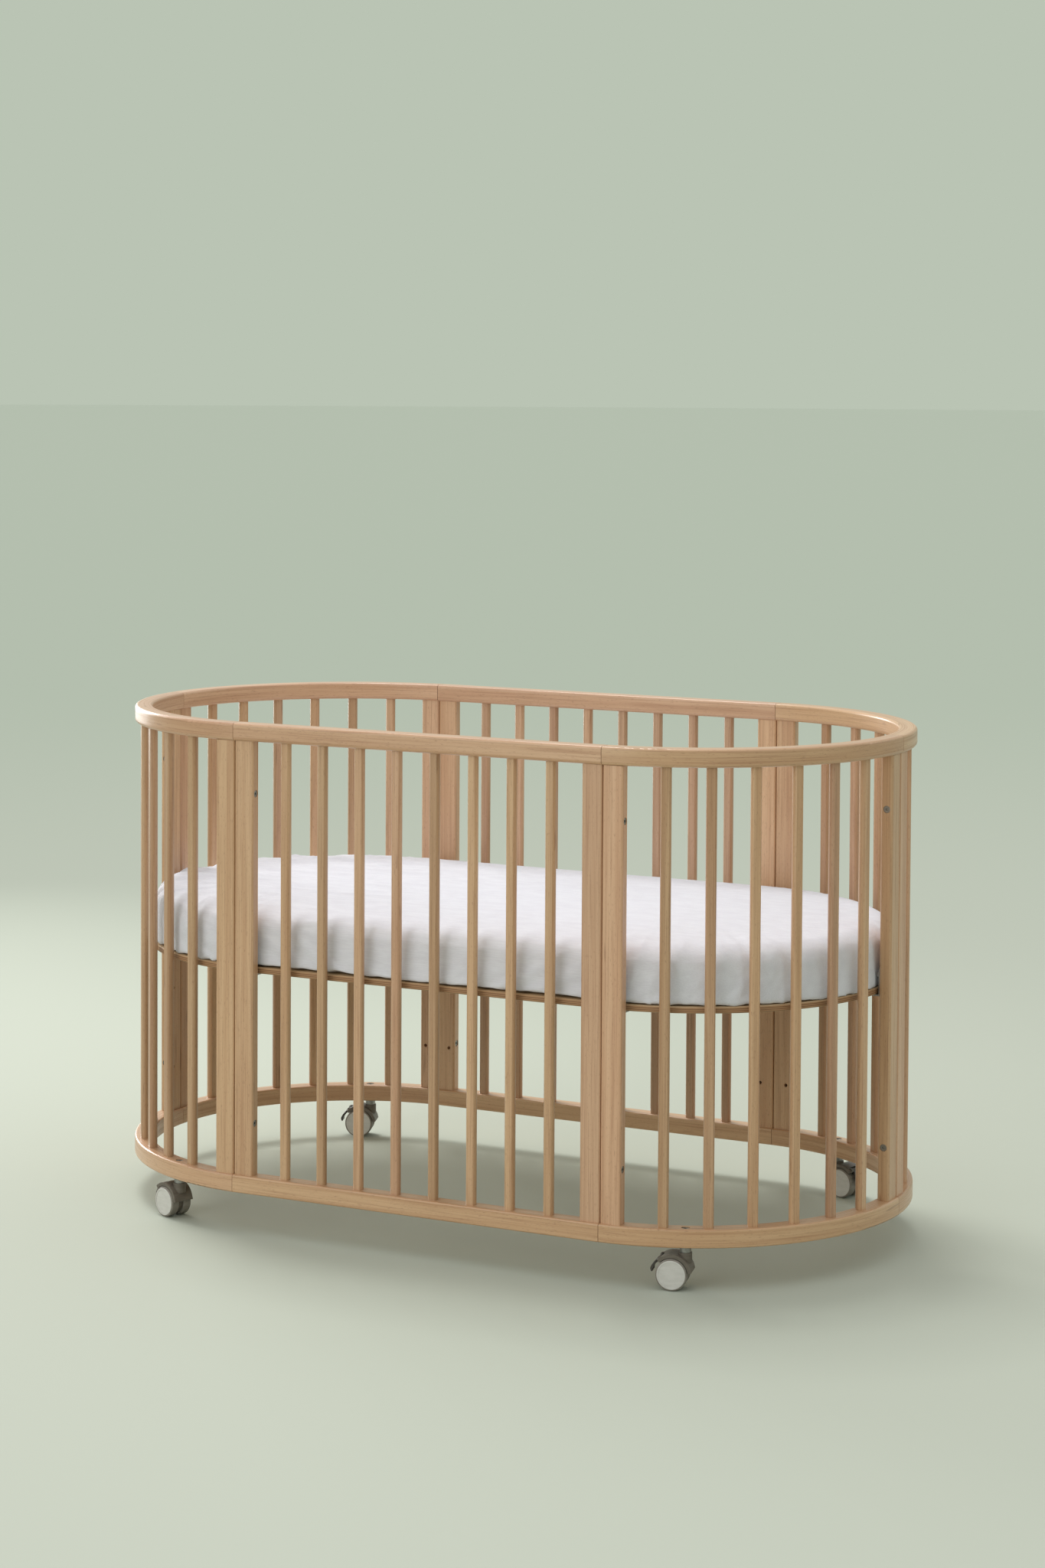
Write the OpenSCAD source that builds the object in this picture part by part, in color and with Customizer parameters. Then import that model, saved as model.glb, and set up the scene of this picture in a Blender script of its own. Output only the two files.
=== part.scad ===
// Oval baby crib on four twin-wheel swivel casters.
// Six bolted side sections (two straight, four curved) stand around a mattress board.
// Millimetres. +X runs along the crib, +Z is up, the origin is on the floor under the middle.

/* [Crib] */
// Length over the top rail
crib_l = 1375; // [1300:5:1450]
// Width over the top rail, also the diameter of both round ends
crib_w = 740; // [700:5:780]
// Height of the top rail's upper face above the floor
crib_h = 836; // [780:1:900]
// Distance of the long sides' section joints from the middle
seam_x = 330; // [325:1:345]

/* [Rails] */
// Depth of a rail from its outer to its inner face
rail_w = 30; // [26:1:34]
// Height of a rail
rail_h = 29; // [26:1:34]
// Underside of the bottom rail above the floor
rail_z = 66.5; // [66.5:0.5:70]
// Edge radius on top of the top rail
top_edge_r = 5; // [2:0.5:8]
// Edge radius under the top rail
under_edge_r = 6; // [2:0.5:10]
// Edge radius of the bottom rail
low_edge_r = 3; // [1:0.5:6]

/* [Posts and slats] */
// Width of one post along the rail
post_w = 34.5; // [30:0.5:38]
// Thickness of a post
post_t = 20; // [18:0.5:24]
// Edge radius of a post
post_r = 4; // [1:0.5:6]
// Width of a slat along the rail
slat_w = 17; // [14:0.5:20]
// Thickness of a slat, which has flat sides and round edges
slat_t = 13; // [10:0.5:13.5]
// Slats in a straight section
straight_slats = 8; // [6:1:8]
// Distance between slats in a straight section
slat_pitch = 68; // [60:1:72]
// Slats in a curved section
curve_slats = 6; // [4:1:6]
// Angle from the crib's long axis to the first slat of a curved section
first_slat_a = 16; // [14:0.5:18]
// Angle between slats in a curved section
slat_pitch_a = 11.25; // [10:0.25:11.5]

/* [Mattress base] */
// Underside of the mattress board above the floor
board_z = 424; // [400:1:440]
// Thickness of the plywood mattress board
board_t = 10; // [9:0.5:12]
// Half width of the mattress board
board_r = 340; // [330:1:341]
// Lowest row of board bolt holes above the floor
level_z = 173; // [165:1:190]
// Distance between the rows of board bolt holes
level_pitch = 141; // [130:1:150]

/* [Mattress] */
// Half width of the mattress
mattress_r = 335; // [325:1:336]
// Thickness of the mattress
mattress_t = 88; // [80:1:100]
// Radius of the mattress's upper edge
mattress_edge_r = 30; // [10:1:36]
// Thickness of the fitted sheet
sheet_t = 1.2; // [1:0.1:1.5]

/* [Casters] */
// Wheel radius
wheel_r = 25; // [24:0.5:25]
// Width of one wheel
wheel_w = 15; // [13:0.5:15]
// Distance from the swivel axis back to the axle
trail = 19; // [18:0.5:20]
// Headings of the casters: front left, front right, back right, back left
headings = [158, 193, 343, 200]; // [0:1:360]

/* [Hidden] */
$fn = 96;
eps = 0.01;               // overlap of shapes that join
over = 1;                 // how far a cutting shape reaches past a face

// Plan: the rails' centre line is a straight run and two half circles
end_r = crib_w / 2;
end_x = crib_l / 2 - end_r;
mid_r = end_r - rail_w / 2;
top_z = crib_h - rail_h;
low_top_z = rail_z + rail_h;
joint_gap = 0.4;          // half the gap between two sections
post_y = joint_gap + post_w / 2;
fit = 0.05;               // radial clearance of a peg or bolt in its hole

// Sections run round the crib anticlockwise: 0 front, 1 front right, 2 back right,
// 3 back, 4 back left, 5 front left.  Joint i lies at the start of section i.
SECTIONS = 6;
JOINTS = [
    [-seam_x, -mid_r, -90], [seam_x, -mid_r, -90], [end_x + mid_r, 0, 0],
    [seam_x, mid_r, 90], [-seam_x, mid_r, 90], [-end_x - mid_r, 0, 180]
];
function is_straight(s) = s % 3 == 0;
// Signs of the quarter that a curved section fills
function side_x(s) = s == 1 || s == 2 ? 1 : -1;
function side_y(s) = s == 2 || s == 4 ? 1 : -1;

// Pegs that join slats and posts to the rails
slat_peg_r = 5;
post_peg_r = 4;
post_peg_y = 9;
peg_l = 12;
hole_l = 12.5;

// Bolts through each pair of posts, with a sleeve nut from the other side
joint_bolt_z = [181, 721];
sleeve_r = 4;
bolt_r = 3;
head_r = 5.5;
head_h = 3;
head_sink = 4;            // depth of the recess that takes a head
head_fit = 0.3;           // clearance round a head in its recess
sleeve_end = 4;           // how far the sleeve reaches past the joint
socket_r = 2.3;

// Board fixings
bolt_y = 24;              // bolt's distance from the joint, along the rail
level_hole_l = 14;
bolt_short = 1;           // a bolt ends this far before its hole does
level_rows = [for (k = [0 : 2]) level_z + k * level_pitch];
bracket_t = 2.5;
bracket_w = 60;
bracket_up = 44;
bracket_in = 42;
board_bolt_z = level_rows[2];
slot_w = 24;
slot_l = 140;
slot_pitch_x = 74;
slot_pitch_y = 180;
slot_columns = 15;
slot_rows = 3;
board_edge_r = 2;
slot_margin = 30;
bracket_z = board_z - fit - bracket_t;
bracket_hole_x = 34;      // bolt's distance inwards from the posts' middle

// Soft parts
soft_gap = 0.3;
mattress_z = board_z + board_t + 2 * soft_gap + sheet_t;
mattress_low_r = 13;
hem_w = 40;

// Casters, each drawn with its swivel axis on Z and its axle along Y at x = trail
CORNERS = [[-1, -1], [1, -1], [1, 1], [-1, 1]];
caster_after = 5;         // a caster stands just past this slat of a curved section
caster_a = first_slat_a + (caster_after - 0.5) * slat_pitch_a;
stem_r = 4;
stem_head_r = 6.5;
stem_low_z = 46;
stem_head_sink = 5;       // depth of the recess that takes a stem's head
collar_r = 9;
collar_z = 58.3;
hub_r = 10.5;
hub_z = 58;
hub_low_z = 42;
axle_r = 3;
axle_fit = 0.01;          // radial clearance of the pressed-in axle
axle_short = 3;           // from the axle's end to the wheel's outer face
web_r = 21;
web_t = 8.4;
wheel_in = 4.5;           // inner face of a wheel from the caster's middle plane
wheel_edge_r = 2.5;
hood_in_r = 26;
hood_out_r = 31.5;
hood_w = 36;
hood_a = [45, 172];
cap_r = 22.5;
cap_t = 2.4;
cap_sink = 2;
cap_rim_w = 2.4;
cap_edge_r = 0.8;
cap_dish = 0.7;           // depth of the cap's face inside its rim
pedal_a = 52;
pedal_pivot_r = 29.5;
pedal_neck = 8;
// Side view of the pedal's arm and lip, from the pivot: X along the arm, Y away from the wheels
pedal_side = [
    [0, 1.8], [9, 1.6], [16, 0.2], [21, -2], [22.8, -3.4], [24, -6], [24.3, -8.2],
    [23.6, -8.9], [22.7, -8.6], [21.8, -7], [20, -5.4], [15.5, -3.6], [9, -2], [0, -1.8]
];
pedal_w = 21;
pedal_slot_w = 16.6;
barrel_r = 3.2;
barrel_w = 16;
trunnion_r = 1.8;
trunnion_l = 2.6;
ear_r = 4;
ear_w = 4;
pedal_room = [16, 12];    // clear space between the ears: along the pedal, across its thickness
pedal_room_at = [-6, -5]; // where that space starts, from the pivot

// ---- helpers ----

// Rounded bar outline, centred on X, standing on y = 0
module bar_outline(w, h, r_top, r_low) {
    translate([-w / 2, r_low]) square([w, h - r_top - r_low]);
    translate([-w / 2 + r_low, 0]) square([w - 2 * r_low, r_low + eps]);
    translate([-w / 2 + r_top, h - r_top - eps]) square([w - 2 * r_top, r_top + eps]);
    for (s = [-1, 1]) {
        translate([s * (w / 2 - r_low), r_low]) circle(r_low);
        translate([s * (w / 2 - r_top), h - r_top]) circle(r_top);
    }
}

// Closed oval slab with rounded upper and lower edges
module oval_slab(r, z, h, r_top, r_low) {
    translate([-end_x, 0, z]) rotate([90, 0, 90]) linear_extrude(2 * end_x)
        bar_outline(2 * r, h, r_top, r_low);
    for (s = [-1, 1]) translate([s * end_x, 0, z]) rotate_extrude() intersection() {
        bar_outline(2 * r, h, r_top, r_low);
        square([r + over, h + over]);
    }
}

// Puts its children at a joint, +X outwards and +Y anticlockwise along the rail
module at_joint(i) {
    j = JOINTS[i % SECTIONS];
    translate([j[0], j[1], 0]) rotate(j[2]) children();
}

// Puts its children at every slat of a section, +X outwards
module at_slats(s) {
    if (is_straight(s)) for (k = [0 : straight_slats - 1])
        translate([(k - (straight_slats - 1) / 2) * slat_pitch, s == 0 ? -mid_r : mid_r, 0])
            rotate(s == 0 ? -90 : 90) children();
    else for (k = [0 : curve_slats - 1]) {
        a = first_slat_a + k * slat_pitch_a;
        p = [side_x(s) * (end_x + mid_r * cos(a)), side_y(s) * mid_r * sin(a)];
        translate([p[0], p[1], 0]) rotate(atan2(side_y(s) * sin(a), side_x(s) * cos(a)))
            children();
    }
}

// Puts its children at both posts of a section, +X outwards
module at_posts(s) {
    at_joint(s) translate([0, post_y, 0]) children();
    at_joint(s + 1) translate([0, -post_y, 0]) children();
}

// Puts its children at a caster's stem, on the middle of the bottom rail
module at_stem(c) {
    translate([CORNERS[c][0] * (end_x + mid_r * cos(caster_a)),
        CORNERS[c][1] * mid_r * sin(caster_a), 0]) children();
}

// ---- side sections ----

// The plain bar of one section's rail, standing on z
module rail_bar(s, z, r_top, r_low) {
    if (is_straight(s))
        translate([-seam_x + joint_gap, s == 0 ? -mid_r : mid_r, z]) rotate([90, 0, 90])
            linear_extrude(2 * (seam_x - joint_gap)) bar_outline(rail_w, rail_h, r_top, r_low);
    else mirror([side_x(s) < 0 ? 1 : 0, 0, 0]) mirror([0, side_y(s) < 0 ? 1 : 0, 0])
        intersection() {
            translate([end_x, 0, z]) rotate_extrude(angle = 90) translate([mid_r, 0])
                bar_outline(rail_w, rail_h, r_top, r_low);
            translate([seam_x + joint_gap, joint_gap, z - over])
                cube([crib_l, crib_w, rail_h + 2 * over]);
        }
}

// Peg holes of a section's slats and posts, from z upwards
module peg_holes(s, z) {
    at_slats(s) translate([0, 0, z]) cylinder(r = slat_peg_r + fit, h = hole_l + eps);
    at_posts(s) for (y = [-post_peg_y, post_peg_y])
        translate([0, y, z]) cylinder(r = post_peg_r + fit, h = hole_l + eps);
}

module top_rail(s) {
    color([0.76, 0.62, 0.46]) difference() {
        rail_bar(s, top_z, top_edge_r, under_edge_r);
        peg_holes(s, top_z - eps);
    }
}

module bottom_rail(s) {
    color([0.70, 0.56, 0.42]) difference() {
        rail_bar(s, rail_z, low_edge_r, low_edge_r);
        peg_holes(s, low_top_z - hole_l);
        if (!is_straight(s)) for (c = [0 : 3])
            if (CORNERS[c] == [side_x(s), side_y(s)]) at_stem(c) {
                translate([0, 0, rail_z - over])
                    cylinder(r = stem_r + fit, h = rail_h + 2 * over);
                translate([0, 0, low_top_z - stem_head_sink])
                    cylinder(r = stem_head_r + head_fit, h = stem_head_sink + over);
            }
    }
}

// One post with its pegs, bolt recesses and board bolt holes.
// side is 1 for the post at the start of a section and -1 for the one at its end.
module post(side) {
    h = top_z - low_top_z;
    difference() {
        union() {
            translate([0, 0, low_top_z]) linear_extrude(h) {
                square([post_t - 2 * post_r, post_w], center = true);
                square([post_t, post_w - 2 * post_r], center = true);
                for (x = [-1, 1], y = [-1, 1])
                    translate([x * (post_t / 2 - post_r), y * (post_w / 2 - post_r)])
                        circle(post_r);
            }
            for (y = [-post_peg_y, post_peg_y]) translate([0, y, low_top_z - peg_l])
                cylinder(r = post_peg_r, h = h + 2 * peg_l);
        }
        for (z = joint_bolt_z) translate([0, 0, z]) rotate([-90 * side, 0, 0]) {
            cylinder(r = sleeve_r + fit, h = post_w + 2 * over, center = true);
            translate([0, 0, post_w / 2 - head_sink])
                cylinder(r = head_r + head_fit, h = head_sink + over);
        }
        for (z = level_rows) translate([-post_t / 2 - over, side * (bolt_y - post_y), z])
            rotate([0, 90, 0]) cylinder(r = bolt_r + fit, h = level_hole_l + over);
    }
}

module posts(s) {
    color([0.74, 0.61, 0.45]) {
        at_joint(s) translate([0, post_y, 0]) post(1);
        at_joint(s + 1) translate([0, -post_y, 0]) post(-1);
    }
}

module slats(s) {
    h = top_z - low_top_z;
    color([0.73, 0.58, 0.43]) at_slats(s) {
        translate([0, 0, low_top_z]) linear_extrude(h) intersection() {
            circle(d = slat_w);
            square([slat_t, slat_w], center = true);
        }
        translate([0, 0, low_top_z - peg_l]) cylinder(r = slat_peg_r, h = h + 2 * peg_l);
    }
}

// ---- fasteners between the sections ----

// A bolt whose head's underside is at z = 0 and whose shank runs to -Z
module socket_bolt(shank_l) {
    difference() {
        union() {
            cylinder(r = head_r, h = head_h);
            translate([0, 0, -shank_l]) cylinder(r = bolt_r, h = shank_l + eps);
        }
        translate([0, 0, head_h / 3]) cylinder(r = socket_r, h = head_h, $fn = 6);
    }
}

// Puts its children at both bolt heights of every joint, +Z anticlockwise along the rail
module at_joint_bolts() {
    for (i = [0 : SECTIONS - 1], z = joint_bolt_z)
        at_joint(i) translate([0, 0, z]) rotate([-90, 0, 0]) children();
}

// Height of a head's underside from the joint's plane
joint_head_z = joint_gap + post_w - head_sink;

module connector_bolts() {
    color([0.62, 0.62, 0.63]) at_joint_bolts()
        translate([0, 0, joint_head_z]) socket_bolt(joint_head_z + sleeve_end - eps);
}

// Sleeve nut: a head in the other recess and a threaded tube round the bolt's end
module connector_sleeves() {
    color([0.62, 0.62, 0.63]) at_joint_bolts() mirror([0, 0, 1]) difference() {
        union() {
            translate([0, 0, joint_head_z]) cylinder(r = head_r, h = head_h);
            translate([0, 0, -sleeve_end]) cylinder(r = sleeve_r, h = joint_head_z + sleeve_end + eps);
        }
        translate([0, 0, -sleeve_end - over])
            cylinder(r = bolt_r + fit, h = joint_head_z + sleeve_end);
        translate([0, 0, joint_head_z + head_h / 3]) cylinder(r = socket_r, h = head_h, $fn = 6);
    }
}

// ---- mattress board ----

// Round-ended slot through the board, running across the crib
module board_slot() {
    square([slot_w, slot_l - slot_w], center = true);
    for (y = [-1, 1]) translate([0, y * (slot_l - slot_w) / 2]) circle(d = slot_w);
}

// True where a slot centred on [x, y] stays inside the board's margin
function slot_fits(x, y) =
    norm([max(abs(x) + slot_w / 2 - end_x, 0), abs(y) + slot_l / 2]) < board_r - slot_margin;

module mattress_board() {
    color([0.72, 0.57, 0.42]) difference() {
        oval_slab(board_r, board_z, board_t, board_edge_r, board_edge_r);
        for (i = [0 : slot_columns - 1], j = [0 : slot_rows - 1])
            let (x = (i - (slot_columns - 1) / 2) * slot_pitch_x,
                 y = (j - (slot_rows - 1) / 2) * slot_pitch_y)
                if (slot_fits(x, y)) translate([x, y, board_z - over])
                    linear_extrude(board_t + 2 * over) board_slot();
        for (i = [0 : SECTIONS - 1], y = [-bolt_y / 2, bolt_y / 2])
            at_joint(i) translate([-bracket_hole_x, y, board_z - over])
                cylinder(r = bolt_r + fit, h = board_t + 2 * over);
    }
}

// Steel angle: one leg under the board, the other up against the two posts
module board_bracket() {
    x = -post_t / 2 - fit;
    difference() {
        union() {
            translate([x - bracket_t, -bracket_w / 2, bracket_z]) cube([bracket_t, bracket_w, bracket_up]);
            translate([x - bracket_in, -bracket_w / 2, bracket_z])
                cube([bracket_in, bracket_w, bracket_t]);
        }
        for (y = [-bolt_y, bolt_y]) translate([x - bracket_t - over, y, board_bolt_z])
            rotate([0, 90, 0]) cylinder(r = bolt_r + fit, h = bracket_t + 2 * over);
        for (y = [-bolt_y / 2, bolt_y / 2]) translate([-bracket_hole_x, y, bracket_z - over])
            cylinder(r = bolt_r + fit, h = bracket_t + 2 * over);
    }
}

module board_brackets() {
    color([0.55, 0.55, 0.56]) for (i = [0 : SECTIONS - 1]) at_joint(i) board_bracket();
}

// Two bolts into the posts and two up through the board at each bracket
module board_bolts() {
    color([0.62, 0.62, 0.63]) for (i = [0 : SECTIONS - 1]) at_joint(i) {
        for (y = [-bolt_y, bolt_y])
            translate([-post_t / 2 - fit - bracket_t, y, board_bolt_z]) rotate([0, -90, 0])
                socket_bolt(bracket_t + level_hole_l - bolt_short);
        for (y = [-bolt_y / 2, bolt_y / 2]) translate([-bracket_hole_x, y, bracket_z])
            rotate([180, 0, 0]) socket_bolt(bracket_t + board_t - bolt_short);
    }
}

// ---- mattress ----

module mattress() {
    color([0.93, 0.92, 0.90])
        oval_slab(mattress_r, mattress_z, mattress_t, mattress_edge_r, mattress_low_r);
}

// Thin skin over the mattress, with a hem turned in underneath
module fitted_sheet() {
    gap = soft_gap;
    color([0.95, 0.95, 0.96]) difference() {
        oval_slab(mattress_r + gap + sheet_t, mattress_z - gap - sheet_t,
            mattress_t + 2 * (gap + sheet_t), mattress_edge_r + gap + sheet_t,
            mattress_low_r + gap + sheet_t);
        oval_slab(mattress_r + gap, mattress_z - gap, mattress_t + 2 * gap,
            mattress_edge_r + gap, mattress_low_r + gap);
        oval_slab(mattress_r - hem_w, mattress_z - gap - sheet_t - over, sheet_t + 2 * over,
            eps, eps);
    }
}

// ---- casters ----

// Bolt down through the rail, with a collar under the rail, at every caster
module caster_stems() {
    head_z = low_top_z - head_sink;
    color([0.66, 0.66, 0.66]) for (c = [0 : 3]) at_stem(c) {
        difference() {
            union() {
                translate([0, 0, stem_low_z]) cylinder(r = stem_r, h = head_z - stem_low_z + eps);
                translate([0, 0, head_z]) cylinder(r = stem_head_r, h = head_h);
            }
            translate([0, 0, head_z + head_h / 3]) cylinder(r = socket_r, h = head_h, $fn = 6);
        }
        translate([0, 0, collar_z]) difference() {
            cylinder(r = collar_r, h = rail_z - fit - collar_z);
            translate([0, 0, -over]) cylinder(r = stem_r + fit, h = rail_z);
        }
    }
}

// Puts its children in caster c's own frame: swivel axis on Z, axle at x = trail
module at_caster(c) {
    at_stem(c) rotate(headings[c]) children();
}

// Puts its children on the axle, +Z along the axle
module at_axle() {
    translate([trail, 0, wheel_r]) rotate([-90, 0, 0]) children();
}

// Cylinder centred on the axle
module axle_disc(r, w) {
    at_axle() cylinder(r = r, h = w, center = true);
}

// Puts its children at the brake pedal's pivot, +X down along the pedal, +Z outwards
module at_pedal() {
    translate([trail, 0, wheel_r]) rotate([0, 90 - pedal_a, 0])
        translate([0, 0, pedal_pivot_r]) children();
}

// Part of the hood between its two end angles, as a wedge across the caster
module hood_wedge() {
    reach = 2 * hood_out_r;
    translate([trail, 0, wheel_r]) rotate([90, 0, 0])
        linear_extrude(hood_w + 2 * over, center = true)
            polygon(concat([[0, 0]], [for (k = [0 : 4])
                let (a = hood_a[0] + k * (hood_a[1] - hood_a[0]) / 4)
                    reach * [cos(a), sin(a)]]));
}

module housing(c) {
    color([0.33, 0.30, 0.27]) at_caster(c) difference() {
        union() {
            axle_disc(web_r, web_t);
            intersection() {
                axle_disc(hood_out_r, hood_w);
                hood_wedge();
            }
            translate([0, 0, hub_low_z]) cylinder(r = hub_r, h = hub_z - hub_low_z);
            for (s = [-1, 1]) at_pedal() translate([0, s * (pedal_slot_w + ear_w) / 2, 0])
                rotate([90, 0, 0]) cylinder(r = ear_r, h = ear_w, center = true);
        }
        for (s = [-1, 1]) at_axle() translate([0, 0, s * (web_t + hood_w) / 2])
            cylinder(r = hood_in_r, h = hood_w, center = true);
        axle_disc(axle_r + axle_fit, web_t + 2 * over);
        translate([0, 0, stem_low_z - over]) cylinder(r = stem_r + fit, h = hub_z);
        at_pedal() {
            rotate([90, 0, 0])
                cylinder(r = trunnion_r + fit, h = barrel_w + 2 * trunnion_l + over, center = true);
            translate([pedal_room_at[0], -pedal_slot_w / 2, pedal_room_at[1]])
                cube([pedal_room[0], pedal_slot_w, pedal_room[1]]);
        }
    }
}

module axle(c) {
    color([0.66, 0.66, 0.66]) at_caster(c) axle_disc(axle_r, 2 * (wheel_in + wheel_w - axle_short));
}

// One wheel with its tyre; s is 1 or -1 for its side of the caster
module wheel(c, s) {
    color([0.40, 0.38, 0.36]) at_caster(c) at_axle() mirror([0, 0, s < 0 ? 1 : 0])
        translate([0, 0, wheel_in]) rotate_extrude() difference() {
            intersection() {
                bar_outline(2 * wheel_r, wheel_w, wheel_edge_r, wheel_edge_r);
                translate([axle_r + fit, 0]) square([wheel_r, wheel_w]);
            }
            translate([0, wheel_w - cap_sink]) square([cap_r + fit, cap_sink + over]);
        }
}

// Pale dished disc pressed into the outer face of a wheel
module cap(c, s) {
    color([0.80, 0.79, 0.75]) at_caster(c) at_axle() mirror([0, 0, s < 0 ? 1 : 0])
        translate([0, 0, wheel_in + wheel_w - cap_sink]) rotate_extrude() difference() {
            intersection() {
                bar_outline(2 * cap_r, cap_t, cap_edge_r, cap_edge_r);
                square([cap_r, cap_t]);
            }
            translate([-over, cap_t - cap_dish]) square([over + cap_r - cap_rim_w, cap_dish + over]);
        }
}

module pedal(c) {
    color([0.24, 0.22, 0.20]) at_caster(c) at_pedal() {
        rotate([90, 0, 0]) cylinder(r = barrel_r, h = barrel_w, center = true);
        rotate([90, 0, 0]) cylinder(r = trunnion_r, h = barrel_w + 2 * trunnion_l, center = true);
        rotate([90, 0, 0]) linear_extrude(barrel_w, center = true) polygon(pedal_side);
        rotate([90, 0, 0]) linear_extrude(pedal_w, center = true) intersection() {
            polygon(pedal_side);
            translate([pedal_neck, -wheel_r]) square(2 * wheel_r);
        }
    }
}

top_rail(0);  // top_rail_front
top_rail(1);  // top_rail_front_right
top_rail(2);  // top_rail_back_right
top_rail(3);  // top_rail_back
top_rail(4);  // top_rail_back_left
top_rail(5);  // top_rail_front_left
bottom_rail(0);  // bottom_rail_front
bottom_rail(1);  // bottom_rail_front_right
bottom_rail(2);  // bottom_rail_back_right
bottom_rail(3);  // bottom_rail_back
bottom_rail(4);  // bottom_rail_back_left
bottom_rail(5);  // bottom_rail_front_left
posts(0);  // posts_front
posts(1);  // posts_front_right
posts(2);  // posts_back_right
posts(3);  // posts_back
posts(4);  // posts_back_left
posts(5);  // posts_front_left
slats(0);  // slats_front
slats(1);  // slats_front_right
slats(2);  // slats_back_right
slats(3);  // slats_back
slats(4);  // slats_back_left
slats(5);  // slats_front_left
connector_bolts();
connector_sleeves();
mattress_board();
board_brackets();
board_bolts();
mattress();
fitted_sheet();
caster_stems();
housing(0);  // housing_front_left
axle(0);  // axle_front_left
pedal(0);  // pedal_front_left
wheel(0, 1);  // wheel_a_front_left
wheel(0, -1);  // wheel_b_front_left
cap(0, 1);  // cap_a_front_left
cap(0, -1);  // cap_b_front_left
housing(1);  // housing_front_right
axle(1);  // axle_front_right
pedal(1);  // pedal_front_right
wheel(1, 1);  // wheel_a_front_right
wheel(1, -1);  // wheel_b_front_right
cap(1, 1);  // cap_a_front_right
cap(1, -1);  // cap_b_front_right
housing(2);  // housing_back_right
axle(2);  // axle_back_right
pedal(2);  // pedal_back_right
wheel(2, 1);  // wheel_a_back_right
wheel(2, -1);  // wheel_b_back_right
cap(2, 1);  // cap_a_back_right
cap(2, -1);  // cap_b_back_right
housing(3);  // housing_back_left
axle(3);  // axle_back_left
pedal(3);  // pedal_back_left
wheel(3, 1);  // wheel_a_back_left
wheel(3, -1);  // wheel_b_back_left
cap(3, 1);  // cap_a_back_left
cap(3, -1);  // cap_b_back_left
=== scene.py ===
"""Looks of the oval baby crib: lacquered beech, a mattress in a fitted cotton sheet, moulded casters."""

import math

import bmesh
import bpy
from mathutils import Matrix, Vector, noise
from mathutils.bvhtree import BVHTree


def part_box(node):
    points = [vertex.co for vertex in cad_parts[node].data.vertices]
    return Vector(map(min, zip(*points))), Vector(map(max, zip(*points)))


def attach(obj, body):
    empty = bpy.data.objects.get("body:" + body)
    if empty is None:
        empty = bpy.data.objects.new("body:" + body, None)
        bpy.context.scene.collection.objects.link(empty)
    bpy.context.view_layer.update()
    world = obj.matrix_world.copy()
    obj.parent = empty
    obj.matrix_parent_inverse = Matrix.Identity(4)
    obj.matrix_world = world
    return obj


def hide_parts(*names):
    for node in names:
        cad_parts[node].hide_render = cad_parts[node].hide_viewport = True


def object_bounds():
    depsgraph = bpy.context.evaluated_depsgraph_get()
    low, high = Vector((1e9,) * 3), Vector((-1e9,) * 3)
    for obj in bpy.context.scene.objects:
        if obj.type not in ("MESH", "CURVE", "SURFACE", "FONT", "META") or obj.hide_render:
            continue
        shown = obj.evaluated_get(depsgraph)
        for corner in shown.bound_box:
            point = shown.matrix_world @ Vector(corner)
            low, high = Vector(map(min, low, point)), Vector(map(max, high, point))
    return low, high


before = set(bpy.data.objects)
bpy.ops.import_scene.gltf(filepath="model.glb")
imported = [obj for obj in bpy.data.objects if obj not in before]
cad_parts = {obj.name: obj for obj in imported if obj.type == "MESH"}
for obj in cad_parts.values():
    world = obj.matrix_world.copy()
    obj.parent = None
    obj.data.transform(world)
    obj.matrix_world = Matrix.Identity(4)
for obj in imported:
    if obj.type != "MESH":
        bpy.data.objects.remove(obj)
CAD_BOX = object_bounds()

# ---- places and sizes taken from the frame, in metres ----

SECTIONS = ("front", "front_right", "back_right", "back", "back_left", "front_left")
CORNERS = ("front_left", "front_right", "back_right", "back_left")
STRAIGHT = ("front", "back")
RAIL_LOW, RAIL_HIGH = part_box("top_rail_front")
RAIL_DEPTH = RAIL_HIGH.y - RAIL_LOW.y
OUTER_R = CAD_BOX[1].y                   # radius of the round ends, over the rails
END_X = CAD_BOX[1].x - OUTER_R           # centre of a round end
MID_R = OUTER_R - RAIL_DEPTH / 2         # radius of the rails' centre line
BOARD_LOW, BOARD_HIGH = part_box("mattress_board")
FOAM_LOW, FOAM_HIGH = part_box("mattress")
SHEET_LOW, SHEET_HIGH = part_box("fitted_sheet")

# The slats' spacing in part.scad
SLAT_PITCH = 0.068                       # between two slats of a straight section
FIRST_SLAT_TURN = 16.0                   # degrees from the long axis to a curved section's first slat
SLAT_TURN = 11.25                        # degrees between two slats of a curved section


# ---- shader helpers ----

def material(name, settings):
    """A new material with those values on its Principled shader: returns it, its tree and the shader."""
    made = bpy.data.materials.new(name)
    made.use_nodes = True
    shader = made.node_tree.nodes["Principled BSDF"]
    for socket, value in settings.items():
        shader.inputs[socket].default_value = value
    return made, made.node_tree, shader


def node(tree, kind, sockets=None, **settings):
    """Adds a shader node. A socket given another node's output is linked, and else it is set."""
    made = tree.nodes.new("ShaderNode" + kind)
    for name, value in settings.items():
        setattr(made, name, value)
    for name, value in (sockets or {}).items():
        if isinstance(value, bpy.types.NodeSocket):
            tree.links.new(value, made.inputs[name])
        else:
            made.inputs[name].default_value = value
    return made


def calc(tree, operation, *values):
    """The result of a Math node."""
    return node(tree, "Math", dict(enumerate(values)), operation=operation).outputs[0]


def vector_calc(tree, operation, a, b):
    """The result of a Vector Math node."""
    return node(tree, "VectorMath", {0: a, 1: b}, operation=operation).outputs[0]


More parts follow.
